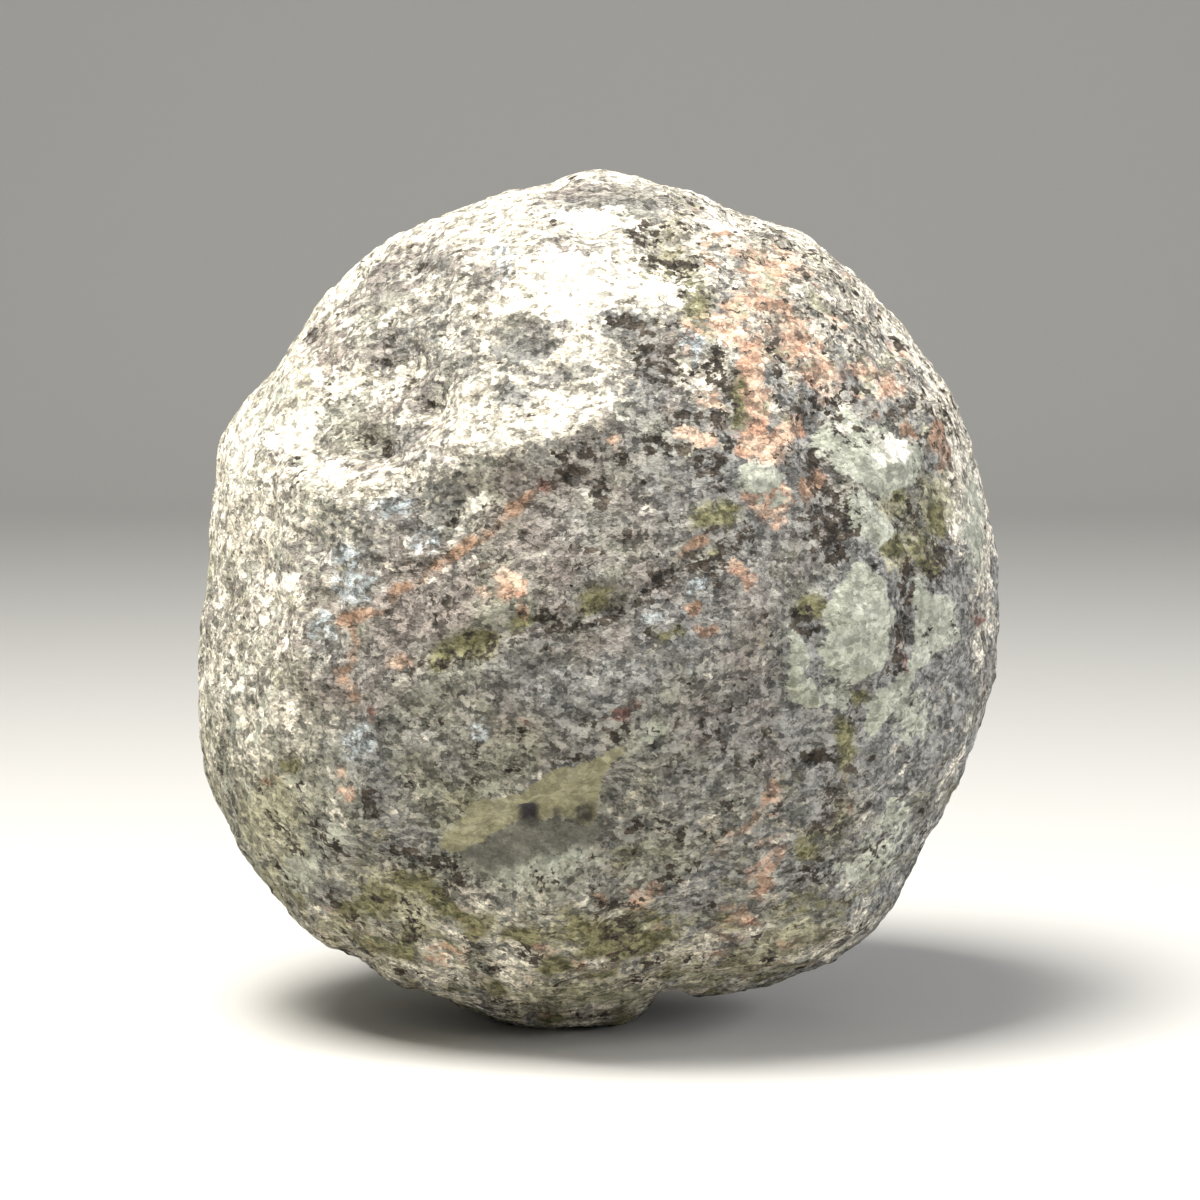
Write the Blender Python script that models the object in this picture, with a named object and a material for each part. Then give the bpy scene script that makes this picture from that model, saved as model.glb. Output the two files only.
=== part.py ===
"""A coconut geode: one rough ball of silicified volcanic ash, uncut, standing on a small flat spot.

The crust is a radius worked out for every direction from the middle of the stone. It starts
from the outline that the stone shows from the front, gets the lumps, ledges, hollows and pits
that are named below, and ends with seeded weathering. The front of the stone faces -Y.
"""

import itertools
import math

import bpy
import numpy as np

# Driving dimensions, in millimetres and degrees.
MM = 0.001
REST_HEIGHT = 50.5  # from the flat spot up to the middle of the stone
SIDEWAYS = 0.1  # the middle of the stone, measured from the middle of its box
BACKWARDS = 1.5
FRONT_DEPTH = 47.0
BACK_DEPTH = 45.0
EYE_DISTANCE = 520.0  # the places on the front are given as they show from here
EYE_TILT = 5.0  # and from this far above level
# The outline's radius every 10 degrees, from the right side up over the crown.
RIM = np.array([
    47.7, 47.6, 47.6, 48.5, 48.4, 49.1, 49.6, 49.1, 49.9, 50.1, 50.0, 49.5,
    49.8, 49.1, 48.1, 48.2, 48.6, 47.5, 47.2, 48.7, 50.8, 51.8, 52.7, 52.9,
    52.2, 51.6, 52.2, 51.3, 49.5, 49.9, 51.3, 51.7, 49.3, 48.0, 47.9, 48.0,
])
# Knobs and dips of the outline: its angle, its reach round the outline, its reach to the back and its height.
RIM_KNOBS = (
    (5, 2.5, 8.0, 0.5),
    (13, 3.5, 14.0, -0.4),
    (61, 3.0, 8.0, 0.4),
    (90, 4.5, 9.0, 1.2),  # the crown
    (98, 3.0, 14.0, -0.5),
    (145, 4.0, 14.0, -0.8),
    (156, 4.5, 10.0, 0.6),
    (163, 3.0, 14.0, -0.8),
    (174, 4.0, 14.0, -0.6),
    (205, 3.0, 8.0, 0.6),
    (229, 4.0, 9.0, 0.4),
    (236, 3.0, 14.0, -0.7),
    (265, 3.0, 14.0, -0.6),
    (274, 2.5, 12.0, 0.4),
    (279.7, 2.0, 20.0, -3.7),  # the notch beside the flat spot
    (322, 4.5, 14.0, -0.7),
)
# Lumps and hollows of the front: across, up, half width, half height, turn and height.
FRONT_SWELLS = (
    (-25.5, 28.5, 8.5, 13.5, -28, -2.9),  # the broad hollow at the upper left
    (-29.0, 20.0, 5.0, 4.0, 0, -1.0),  # its deeper corner
    (-36.0, 26.0, 3.5, 9.0, -35, 0.9),  # its left rim
    (-9.0, 40.0, 11.0, 5.5, 10, 0.7),
    (13.0, 30.0, 10.0, 8.0, 0, 0.6),
    (27.0, 21.0, 9.0, 9.0, 0, -0.7),
    (5.0, -10.0, 14.0, 8.0, 15, 0.9),  # the grey swelling under the olive crease
    (-6.5, -34.5, 9.0, 4.5, 8, 1.3),  # the pale lip under the scar
    (-30.0, -27.0, 6.0, 9.0, 20, 0.7),
    (-27.0, -36.0, 9.0, 3.5, -30, -0.8),
    (21.0, -30.0, 9.0, 7.0, 0, -0.8),
    (38.0, -17.0, 6.0, 9.0, 0, 0.7),
    (31.0, -3.0, 5.5, 9.5, -10, 0.6),
    (-41.0, 4.0, 4.0, 10.0, 0, -0.9),  # the flattened left side
)
# Pits of the front: across, up, radius and depth.
FRONT_PITS = (
    (-23.0, 39.3, 2.0, 1.1),
    (-24.2, 31.0, 2.4, 1.6),
    (-21.4, 23.8, 2.1, 1.4),
    (-28.2, 19.3, 2.2, 1.5),
    (-24.8, 17.2, 1.6, 0.9),
    (-13.8, 42.1, 1.8, 0.8),
    (-7.6, -25.2, 1.2, 1.0),
    (-1.2, -26.0, 1.2, 1.0),
    (1.6, -1.1, 1.4, 1.1),
    (25.2, -18.8, 1.6, 0.9),
)
# Ridges, creases and the scar run along these points of the front: across and up.
LIP = ((-41.0, 15.0), (-32.4, 12.2), (-26.4, 13.0), (-20.4, 15.4), (-8.4, 18.0), (0.0, 21.6), (7.0, 25.0))
LIP_HEIGHT = 1.8
FLANK = ((-36.5, 12.0), (-36.0, 0.0), (-37.8, -12.0), (-41.4, -23.0))
FLANK_HEIGHT = 0.8
OLIVE_CREASE = ((-20.0, -6.8), (-15.6, -5.6), (-8.4, -2.6), (1.6, -1.1), (9.6, 4.6), (14.4, 9.4))
OLIVE_STEP = 0.6  # the crust above the crease stands this much proud of the crust below
RIGHT_CREASE = ((34.5, 17.0), (37.0, 6.0), (36.4, -6.0), (33.0, -14.0), (29.0, -26.0))
CREASE_DEPTH = 0.6
SCAR = ((-19.6, -30.5), (-14.4, -26.0), (-8.4, -23.4), (-2.4, -20.9), (4.8, -17.0))
SCAR_DEPTH = 2.7
SCAR_LEDGE = 3.2  # how tall the broken face shows
SCAR_REACH = 12.0  # from the scar's edge down to where its floor meets the crust
# Features wander off their paths by this much, over waves of this size.
WANDER = 1.0
WANDER_SIZE = 8.0
# Seeded lumps and pits: how many, and their least and most radius and height.
SIDE_SWELLS = (34, (7.0, 15.0), (-2.8, 1.8))
CRUST_PITS = (150, (1.6, 2.8), (-1.1, -0.4))
# Weathering all over: the size of its lumps, their height, and whether they crease.
WEATHERING = (
    (26.0, 1.6, False),
    (13.0, 1.4, False),
    (8.0, 1.2, True),
    (5.0, 1.0, False),
    (3.2, 0.7, True),
)
GRID = 72  # cells along an edge of the cube that the ball is blown up from
TRIANGLES = 9400
CRUST_COLOUR = (0.36, 0.34, 0.31, 1.0)
CRUST_ROUGHNESS = 0.85


def ease(value, start, end):
    """0 before start, 1 after end, and a smooth cubic between them."""
    share = np.clip((value - start) / (end - start), 0.0, 1.0)
    return share * share * (3.0 - 2.0 * share)


def ball(cells):
    """Directions to the corners of a cube's square cells, and the cells as four corners each."""
    row, column = np.meshgrid(np.arange(cells), np.arange(cells), indexing="ij")
    quads = []
    for axis, side in itertools.product(range(3), (0, cells)):
        steps = ((0, 0), (1, 0), (1, 1), (0, 1)) if side else ((0, 0), (0, 1), (1, 1), (1, 0))
        for down, right in steps:
            corner = np.empty((cells, cells, 3), int)
            corner[..., axis] = side
            corner[..., (axis + 1) % 3] = row + down
            corner[..., (axis + 2) % 3] = column + right
            quads.append(corner.reshape(-1, 3))
    corners = np.stack(quads).reshape(6, 4, -1, 3).transpose(0, 2, 1, 3).reshape(-1, 3)
    points, index = np.unique(corners, axis=0, return_inverse=True)
    # The tangent spreads the cells evenly over the ball.
    spread = np.tan((points / cells - 0.5) * (math.pi / 2))
    return spread / np.linalg.norm(spread, axis=1, keepdims=True), index.reshape(-1, 4)


def gradient_noise(points, size, seed):
    """Smooth random heights, about -1 to 1: a random slope at each corner of cubes of this size, eased between."""
    cell = np.floor(points / size).astype(np.int64)
    part = points / size - cell
    blend = part**3 * (part * (part * 6.0 - 15.0) + 10.0)
    total = np.zeros(len(points))
    for corner in itertools.product((0, 1), repeat=3):
        x, y, z = (cell + corner).T
        key = (x * 73856093) ^ (y * 19349663) ^ (z * 83492791) ^ (seed * 2654435761)
        key = ((key ^ (key >> 13)) * 1274126177) & 0xFFFFFFFF
        key = ((key ^ (key >> 16)) * 2246822519) & 0xFFFFFFFF
        slopes = np.stack([(key >> shift) % 1024 for shift in (2, 12, 21)], axis=1) / 511.5 - 1.0
        weight = np.prod(np.where(corner, blend, 1.0 - blend), axis=1)
        total += weight * np.sum(slopes * (part - corner), axis=1)
    return total


def rim_radius(turn):
    """The outline's radius at an angle: a cubic through the listed radii, sloped by their neighbours."""
    step = turn / (2.0 * math.pi) * len(RIM)
    first = np.floor(step).astype(int)
    share = step - first
    before, start, end, after = (RIM[(first + shift) % len(RIM)] for shift in (-1, 0, 1, 2))
    bend = 2.0 * before - 5.0 * start + 4.0 * end - after
    twist = 3.0 * (start - end) + after - before
    return start + 0.5 * share * (end - before + share * (bend + share * twist))


def swell(across, up, row):
    """A lump or hollow that is highest in its middle and dies away as a bell."""
    middle, level, half_width, half_height, turn, height = row
    turn = math.radians(turn)
    x = (across - middle) * math.cos(turn) + (up - level) * math.sin(turn)
    y = (up - level) * math.cos(turn) - (across - middle) * math.sin(turn)
    return height * np.exp(-((x / half_width) ** 2 + (y / half_height) ** 2))


def along(across, up, path):
    """How far each place is from a path, above it as positive, and how far along it, 0 to 1."""
    path = np.array(path)
    lengths = np.linalg.norm(np.diff(path, axis=0), axis=1)
    nearest = np.full(len(across), np.inf)
    above = np.zeros(len(across))
    share = np.zeros(len(across))
    place = np.stack([across, up], axis=1)
    for start, end, length, passed in zip(path, path[1:], lengths, np.cumsum(lengths) - lengths):
        way = (end - start) / length
        reach = np.clip((place - start) @ way, 0.0, length)
        offset = place - start - reach[:, None] * way
        distance = np.linalg.norm(offset, axis=1)
        closer = distance < nearest
        side = np.where(offset @ np.array([-way[1], way[0]]) < 0.0, -1.0, 1.0)
        nearest = np.where(closer, distance, nearest)
        above = np.where(closer, side * distance, above)
        share = np.where(closer, (passed + reach) / lengths.sum(), share)
    return above, share


def ridge(above, share, half_width):
    """A bell across a path, 1 on it, that runs out at the path's two ends."""
    return np.exp(-((above / half_width) ** 2)) * ease(share, 0.0, 0.12) * ease(share, 1.0, 0.8)


def chipped_scar(across, up):
    """The chip low on the front: its upper edge is broken off as a ledge, and its floor rises to the crust."""
    above, share = along(across, up, SCAR)
    ledge = ease(-above, 0.0, SCAR_LEDGE) * ease(-above, SCAR_REACH, SCAR_LEDGE + 1.0)
    return -SCAR_DEPTH * ledge * ease(share, 0.0, 0.2) * ease(share, 1.0, 0.75)


def front_relief(across, up):
    """The named features of the front, as a height in millimetres at each place."""
    height = sum(swell(across, up, row) for row in FRONT_SWELLS)
    for middle, level, radius, depth in FRONT_PITS:
        height = height + swell(across, up, (middle, level, radius, radius, 0, -depth))
    height += LIP_HEIGHT * ridge(*along(across, up, LIP), 3.4)
    height += FLANK_HEIGHT * ridge(*along(across, up, FLANK), 3.2)
    height -= CREASE_DEPTH * ridge(*along(across, up, RIGHT_CREASE), 1.6)
    above, share = along(across, up, OLIVE_CREASE)
    step = ease(above, -1.0, 1.0) * ease(above, 9.0, 2.0) * ease(share, 0.0, 0.12) * ease(share, 1.0, 0.8)
    height += OLIVE_STEP * step - CREASE_DEPTH * ridge(above, share, 1.5)
    return height + chipped_scar(across, up)


def scattered(directions, seed, count, radii, heights):
    """Lumps or pits at seeded places all round the stone, each a bell about its own direction."""
    random = np.random.default_rng(seed)
    middles = random.normal(size=(count, 3))
    middles /= np.linalg.norm(middles, axis=1, keepdims=True)
    height = np.zeros(len(directions))
    for middle, radius, tall in zip(middles, random.uniform(*radii, count), random.uniform(*heights, count)):
        distance = 50.0 * np.linalg.norm(directions - middle, axis=1)
        height += tall * np.exp(-((distance / radius) ** 2))
    return height


def outline_knobs(side, rise, facing):
    """The knobs, dips and notch of the outline, as a height at each direction."""
    height = np.zeros(len(side))
    for angle, reach, length, tall in RIM_KNOBS:
        angle = math.radians(angle)
        gap = 50.0 * np.hypot(side - math.cos(angle), rise - math.sin(angle))
        height += tall * np.exp(-((gap / reach) ** 2) - (50.0 * facing / length) ** 2)
    return height


def weathering(points, facing):
    """Lumps and creases of every size. The coarse ones fade at the outline, which already holds its own."""
    height = np.zeros(len(points))
    for seed, (size, tall, creased) in enumerate(WEATHERING):
        noise = gradient_noise(points, size, seed)
        fade = facing**2 if size > 20.0 else 0.35 + 0.65 * np.abs(facing)
        height += tall * fade * (0.25 - np.abs(noise) if creased else noise)
    return height


def crust(directions):
    """The stone's surface points in millimetres, from its middle, one for each direction."""
    tilt = math.radians(EYE_TILT)
    side = directions[:, 0]
    facing = -directions[:, 1] * math.cos(tilt) + directions[:, 2] * math.sin(tilt)
    rise = directions[:, 1] * math.sin(tilt) + directions[:, 2] * math.cos(tilt)
    turn = np.arctan2(rise, side) % (2.0 * math.pi)
    depth = np.where(facing > 0.0, FRONT_DEPTH, BACK_DEPTH)
    radius = 1.0 / np.sqrt((side**2 + rise**2) / rim_radius(turn) ** 2 + (facing / depth) ** 2)
    points = directions * radius[:, None]
    nearer = 1.0 - radius * facing / EYE_DISTANCE
    across = radius * side / nearer + WANDER * gradient_noise(points, WANDER_SIZE, 20)
    up = radius * rise / nearer + WANDER * gradient_noise(points, WANDER_SIZE, 21)
    height = ease(facing, 0.0, 0.22) * front_relief(across, up)
    height += ease(facing, 0.0, -0.35) * scattered(directions, 7, *SIDE_SWELLS)
    height += scattered(directions, 8, *CRUST_PITS)
    height += outline_knobs(side, rise, facing) + weathering(points, facing)
    return directions * (radius + height)[:, None]


def crust_material():
    """Weathered silicified ash: matt, dry and grey."""
    material = bpy.data.materials.new("weathered_ash_crust")
    material.use_nodes = True
    shader = material.node_tree.nodes["Principled BSDF"]
    shader.inputs["Base Color"].default_value = CRUST_COLOUR
    shader.inputs["Roughness"].default_value = CRUST_ROUGHNESS
    shader.inputs["Metallic"].default_value = 0.0
    return material


def floor_cutter():
    """A block whose top is the floor: what it takes off leaves the flat spot that the stone rests on."""
    bpy.ops.mesh.primitive_cube_add(size=2.0)
    cutter = bpy.context.object
    cutter.name = "floor_cutter"
    cutter.dimensions = (120 * MM, 120 * MM, 20 * MM)
    cutter.location = (0.0, 0.0, -10 * MM)
    cutter.hide_render = True
    cutter.display_type = "WIRE"
    return cutter


def geode():
    """The whole stone: the fine crust, thinned out where it is plain, then cut flat at the floor."""
    directions, quads = ball(GRID)
    points = crust(directions) + (SIDEWAYS, BACKWARDS, REST_HEIGHT)
    mesh = bpy.data.meshes.new("geode")
    mesh.from_pydata((points * MM).tolist(), [], quads.tolist())
    mesh.materials.append(crust_material())
    stone = bpy.data.objects.new("geode", mesh)
    bpy.context.scene.collection.objects.link(stone)
    thin = stone.modifiers.new("thin out", "DECIMATE")
    thin.ratio = TRIANGLES / (2 * len(quads))
    rest = stone.modifiers.new("flat spot", "BOOLEAN")
    rest.operation = "DIFFERENCE"
    rest.object = floor_cutter()
    return stone


for old in list(bpy.data.objects):
    bpy.data.objects.remove(old)
geode()
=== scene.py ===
"""The looks of a whole, uncut coconut geode: its weathered, stained and pitted crust of silicified ash."""

import itertools
import math

import bpy
import numpy as np
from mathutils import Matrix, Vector


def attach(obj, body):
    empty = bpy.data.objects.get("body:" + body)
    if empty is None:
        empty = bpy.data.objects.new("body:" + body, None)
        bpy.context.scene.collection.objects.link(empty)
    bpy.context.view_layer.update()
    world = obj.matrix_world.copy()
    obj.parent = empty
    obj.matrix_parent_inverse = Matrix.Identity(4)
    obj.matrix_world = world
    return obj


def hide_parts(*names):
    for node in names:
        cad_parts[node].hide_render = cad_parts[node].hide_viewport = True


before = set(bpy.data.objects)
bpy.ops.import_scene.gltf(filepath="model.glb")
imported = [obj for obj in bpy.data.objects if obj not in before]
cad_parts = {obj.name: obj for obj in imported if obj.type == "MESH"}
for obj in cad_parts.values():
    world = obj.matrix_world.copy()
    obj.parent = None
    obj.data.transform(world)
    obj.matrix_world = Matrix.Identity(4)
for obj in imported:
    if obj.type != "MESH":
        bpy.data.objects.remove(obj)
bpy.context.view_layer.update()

# The crust's form. The real stone is a ball of volcanic ash that hot water turned to silica, and
# then weathered out of the ground. It is worked out here as in its solid, as a radius for every
# direction from the middle, on a finer mesh whose points are about 0.6 mm apart.
MM = 0.001
REST_HEIGHT = 50.5  # from the flat spot up to the middle of the stone
BALL_RADIUS = 50.0  # the stone's rough radius, which turns a direction's reach into millimetres
SIDEWAYS = 0.1  # the middle of the stone, measured from the middle of its box
BACKWARDS = 1.5
FRONT_DEPTH = 47.0
BACK_DEPTH = 45.0
EYE_DISTANCE = 520.0  # the places on the front are given as they show from here
EYE_TILT = 5.0  # and from this far above level
# The outline's radius every 10 degrees, from the right side up over the crown.
RIM = np.array([
    47.7, 47.6, 47.6, 48.5, 48.4, 49.1, 49.6, 49.1, 49.9, 50.1, 50.0, 49.5,
    49.8, 49.1, 48.1, 48.2, 48.6, 47.5, 47.2, 48.7, 50.8, 51.8, 52.7, 52.9,
    52.2, 51.6, 52.2, 51.3, 49.5, 49.9, 51.3, 51.7, 49.3, 48.0, 47.9, 48.0,
])
# Knobs and dips of the outline: the angle, the reach round the outline, the reach to the front and
# the back, and the height.
RIM_KNOBS = (
    (5, 2.5, 8.0, 0.5),
    (13, 3.5, 14.0, -0.4),
    (61, 3.0, 8.0, 0.4),
    (90, 4.5, 9.0, 1.2),  # the crown
    (98, 3.0, 14.0, -0.5),
    (145, 4.0, 14.0, -0.8),
    (156, 4.5, 10.0, 0.6),
    (163, 3.0, 14.0, -0.8),
    (174, 4.0, 14.0, -0.6),
    (205, 3.0, 8.0, 0.6),
    (229, 4.0, 9.0, 0.4),
    (236, 3.0, 14.0, -0.7),
    (265, 3.0, 14.0, -0.6),
    (274, 2.5, 12.0, 0.4),
    (279.7, 2.0, 20.0, -3.7),  # the notch beside the flat spot
    (322, 4.5, 14.0, -0.7),
)
# Lumps and hollows of the front: across, up, half width, half height, turn and height.
FRONT_SWELLS = (
    (-25.5, 28.5, 8.5, 13.5, -28, -2.9),  # the broad hollow at the upper left
    (-29.0, 20.0, 5.0, 4.0, 0, -1.0),  # its deeper corner
    (-36.0, 26.0, 3.5, 9.0, -35, 0.9),  # its left rim
    (-9.0, 40.0, 11.0, 5.5, 10, 0.7),
    (13.0, 30.0, 10.0, 8.0, 0, 0.6),
    (27.0, 21.0, 9.0, 9.0, 0, -0.7),
    (5.0, -10.0, 14.0, 8.0, 15, 0.9),  # the grey swelling under the olive crease
    (-6.5, -34.5, 9.0, 4.5, 8, 1.3),  # the pale lip under the scar
    (-30.0, -27.0, 6.0, 9.0, 20, 0.7),
    (-27.0, -36.0, 9.0, 3.5, -30, -0.8),
    (21.0, -30.0, 9.0, 7.0, 0, -0.8),
    (38.0, -17.0, 6.0, 9.0, 0, 0.7),
    (31.0, -3.0, 5.5, 9.5, -10, 0.6),
    (-41.0, 4.0, 4.0, 10.0, 0, -0.9),  # the flattened left side
)
# Pits of the front: across, up, radius and depth.
FRONT_PITS = (
    (-23.0, 39.3, 2.0, 1.1),
    (-24.2, 31.0, 2.4, 1.6),
    (-21.4, 23.8, 2.1, 1.4),
    (-28.2, 19.3, 2.2, 1.5),
    (-24.8, 17.2, 1.6, 0.9),
    (-13.8, 42.1, 1.8, 0.8),
    (-7.6, -25.2, 1.2, 1.0),
    (-1.2, -26.0, 1.2, 1.0),
    (1.6, -1.1, 1.4, 1.1),
    (25.2, -18.8, 1.6, 0.9),
)
# Ridges, creases and the scar run along these points of the front: across and up.
LIP = ((-41.0, 15.0), (-32.4, 12.2), (-26.4, 13.0), (-20.4, 15.4), (-8.4, 18.0), (0.0, 21.6), (7.0, 25.0))
LIP_HEIGHT = 1.8
LIP_WIDTH = 3.4
FLANK = ((-36.5, 12.0), (-36.0, 0.0), (-37.8, -12.0), (-41.4, -23.0))
FLANK_HEIGHT = 0.8
FLANK_WIDTH = 3.2
OLIVE_CREASE = ((-20.0, -6.8), (-15.6, -5.6), (-8.4, -2.6), (1.6, -1.1), (9.6, 4.6), (14.4, 9.4))
OLIVE_STEP = 0.6  # the crust above the crease stands this much proud of the crust below
OLIVE_WIDTH = 1.5
RIGHT_CREASE = ((34.5, 17.0), (37.0, 6.0), (36.4, -6.0), (33.0, -14.0), (29.0, -26.0))
CREASE_DEPTH = 0.6
CREASE_WIDTH = 1.6
SCAR = ((-19.6, -30.5), (-14.4, -26.0), (-8.4, -23.4), (-2.4, -20.9), (4.8, -17.0))
SCAR_DEPTH = 2.7
SCAR_LEDGE = 3.2  # how tall the broken face shows
SCAR_REACH = 12.0  # from the scar's edge down to where its floor meets the crust
# A ridge or crease is full after the first of these shares of its path, and fades from the second.
PATH_START = 0.12
PATH_END = 0.8
# Features wander off their paths by this much, over waves of this size.
WANDER = 1.0
WANDER_SIZE = 8.0
# The front's features fade in over this much of the turn towards the eye, and the back's away from it.
FRONT_FADE = (0.0, 0.22)
BACK_FADE = (0.0, -0.35)
# Seeded lumps and pits: how many, and their least and most radius and height.
SIDE_SWELLS = (34, (7.0, 15.0), (-2.8, 1.8))
CRUST_PITS = (150, (1.6, 2.8), (-1.1, -0.4))
COARSE = 20.0  # weathering with larger lumps than this fades out at the outline
RIM_SHARE = 0.35  # the share of the finer weathering that is left there
# Weathering all over: the size of its lumps, their height, and whether they crease.
WEATHERING = (
    (26.0, 1.6, False),
    (13.0, 1.4, False),
    (8.0, 1.2, True),
    (5.0, 1.0, False),
    (3.2, 0.7, True),
)
# The sand grains and the pits that they fell out of, which only show on this finer mesh: their size,
# their height, and whether they crease.
GRAIN_RELIEF = (
    (2.3, 0.50, True),
    (1.7, 0.44, False),
    (1.25, 0.30, False),
)
PLATE_THICKNESS = 0.35  # the pale mineral plates lie on the crust
PIT_DEPTH = 0.5  # the mouths of the hollow's pits
HOLE_DEPTH = 0.8  # the square holes under the scar's ledge
GRID = 128  # cells along an edge of the cube that the ball is blown up from


def ease(value, start, end):
    """0 before start, 1 after end, and a smooth cubic between them."""
    share = np.clip((value - start) / (end - start), 0.0, 1.0)
    return share * share * (3.0 - 2.0 * share)


def ball(cells):
    """Directions to the corners of a cube's square cells, and the cells as four corners each."""
    row, column = np.meshgrid(np.arange(cells), np.arange(cells), indexing="ij")
    quads = []
    for axis, side in itertools.product(range(3), (0, cells)):
        steps = ((0, 0), (1, 0), (1, 1), (0, 1)) if side else ((0, 0), (0, 1), (1, 1), (1, 0))
        for down, right in steps:
            corner = np.empty((cells, cells, 3), int)
            corner[..., axis] = side
            corner[..., (axis + 1) % 3] = row + down
            corner[..., (axis + 2) % 3] = column + right
            quads.append(corner.reshape(-1, 3))
    corners = np.stack(quads).reshape(6, 4, -1, 3).transpose(0, 2, 1, 3).reshape(-1, 3)
    points, index = np.unique(corners, axis=0, return_inverse=True)
    # The tangent spreads the cells evenly over the ball.
    spread = np.tan((points / cells - 0.5) * (math.pi / 2))
    return spread / np.linalg.norm(spread, axis=1, keepdims=True), index.reshape(-1, 4)


def gradient_noise(points, size, seed):
    """Smooth random heights, about -1 to 1: a random slope at each corner of cubes, eased between them."""
    cell = np.floor(points / size).astype(np.int64)
    part = points / size - cell
    blend = part**3 * (part * (part * 6.0 - 15.0) + 10.0)
    total = np.zeros(len(points))
    for corner in itertools.product((0, 1), repeat=3):
        x, y, z = (cell + corner).T
        key = (x * 73856093) ^ (y * 19349663) ^ (z * 83492791) ^ (seed * 2654435761)
        key = ((key ^ (key >> 13)) * 1274126177) & 0xFFFFFFFF
        key = ((key ^ (key >> 16)) * 2246822519) & 0xFFFFFFFF
        slopes = np.stack([(key >> shift) % 1024 for shift in (2, 12, 21)], axis=1) / 511.5 - 1.0
        weight = np.prod(np.where(corner, blend, 1.0 - blend), axis=1)
        total += weight * np.sum(slopes * (part - corner), axis=1)
    return total


def rim_radius(turn):
    """The outline's radius at an angle: a cubic through the listed radii, sloped by their neighbours."""
    step = turn / (2.0 * math.pi) * len(RIM)
    first = np.floor(step).astype(int)
    share = step - first
    before, start, end, after = (RIM[(first + shift) % len(RIM)] for shift in (-1, 0, 1, 2))
    bend = 2.0 * before - 5.0 * start + 4.0 * end - after
    twist = 3.0 * (start - end) + after - before
    return start + 0.5 * share * (end - before + share * (bend + share * twist))


def turned(across, up, middle, level, turn):
    """Places measured from the middle of a mark that is turned by some degrees: along it and across it."""
    turn = math.radians(turn)
    x = (across - middle) * math.cos(turn) + (up - level) * math.sin(turn)
    y = (up - level) * math.cos(turn) - (across - middle) * math.sin(turn)
    return x, y


def swell(across, up, row):
    """A lump or hollow that is highest in its middle and dies away as a bell."""
    middle, level, half_width, half_height, turn, height = row
    x, y = turned(across, up, middle, level, turn)
    return height * np.exp(-((x / half_width) ** 2 + (y / half_height) ** 2))


def along(across, up, path):
    """How far each place is from a path, above it as positive, and how far along it, 0 to 1."""
    path = np.array(path)
    lengths = np.linalg.norm(np.diff(path, axis=0), axis=1)
    nearest = np.full(len(across), np.inf)
    above = np.zeros(len(across))
    share = np.zeros(len(across))
    place = np.stack([across, up], axis=1)
    for start, end, length, passed in zip(path, path[1:], lengths, np.cumsum(lengths) - lengths):
        way = (end - start) / length
        reach = np.clip((place - start) @ way, 0.0, length)
        offset = place - start - reach[:, None] * way
        distance = np.linalg.norm(offset, axis=1)
        closer = distance < nearest
        side = np.where(offset @ np.array([-way[1], way[0]]) < 0.0, -1.0, 1.0)
        nearest = np.where(closer, distance, nearest)
        above = np.where(closer, side * distance, above)
        share = np.where(closer, (passed + reach) / lengths.sum(), share)
    return above, share


def ridge(above, share, half_width):
    """A bell across a path, 1 on it, that runs out at the path's two ends."""
    return np.exp(-((above / half_width) ** 2)) * ease(share, 0.0, PATH_START) * ease(share, 1.0, PATH_END)


def chipped_scar(across, up):
    """The chip low on the front: its upper edge breaks off as a ledge, and its floor rises to the crust."""
    above, share = along(across, up, SCAR)
    ledge = ease(-above, 0.0, SCAR_LEDGE) * ease(-above, SCAR_REACH, SCAR_LEDGE + 1.0)
    return -SCAR_DEPTH * ledge * ease(share, 0.0, 0.2) * ease(share, 1.0, 0.75)


def front_relief(across, up):
    """The named features of the front, as a height in millimetres at each place."""
    height = sum(swell(across, up, row) for row in FRONT_SWELLS)
    for middle, level, radius, depth in FRONT_PITS:
        height = height + swell(across, up, (middle, level, radius, radius, 0, -depth))
    height += LIP_HEIGHT * ridge(*along(across, up, LIP), LIP_WIDTH)
    height += FLANK_HEIGHT * ridge(*along(across, up, FLANK), FLANK_WIDTH)
    height -= CREASE_DEPTH * ridge(*along(across, up, RIGHT_CREASE), CREASE_WIDTH)
    above, share = along(across, up, OLIVE_CREASE)
    step = ease(above, -1.0, 1.0) * ease(above, 9.0, 2.0)
    step = step * ease(share, 0.0, PATH_START) * ease(share, 1.0, PATH_END)
    height += OLIVE_STEP * step - CREASE_DEPTH * ridge(above, share, OLIVE_WIDTH)
    return height + chipped_scar(across, up)


def scattered(directions, seed, count, radii, heights):
    """Lumps or pits at seeded places all round the stone, each a bell about its own direction."""
    random = np.random.default_rng(seed)
    middles = random.normal(size=(count, 3))
    middles /= np.linalg.norm(middles, axis=1, keepdims=True)
    height = np.zeros(len(directions))
    for middle, radius, tall in zip(middles, random.uniform(*radii, count), random.uniform(*heights, count)):
        distance = BALL_RADIUS * np.linalg.norm(directions - middle, axis=1)
        height += tall * np.exp(-((distance / radius) ** 2))
    return height


def outline_knobs(side, rise, facing):
    """The knobs, dips and notch of the outline, as a height at each direction."""
    height = np.zeros(len(side))
    for angle, reach, length, tall in RIM_KNOBS:
        angle = math.radians(angle)
        gap = BALL_RADIUS * np.hypot(side - math.cos(angle), rise - math.sin(angle))
        height += tall * np.exp(-((gap / reach) ** 2) - (BALL_RADIUS * facing / length) ** 2)
    return height


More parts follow.
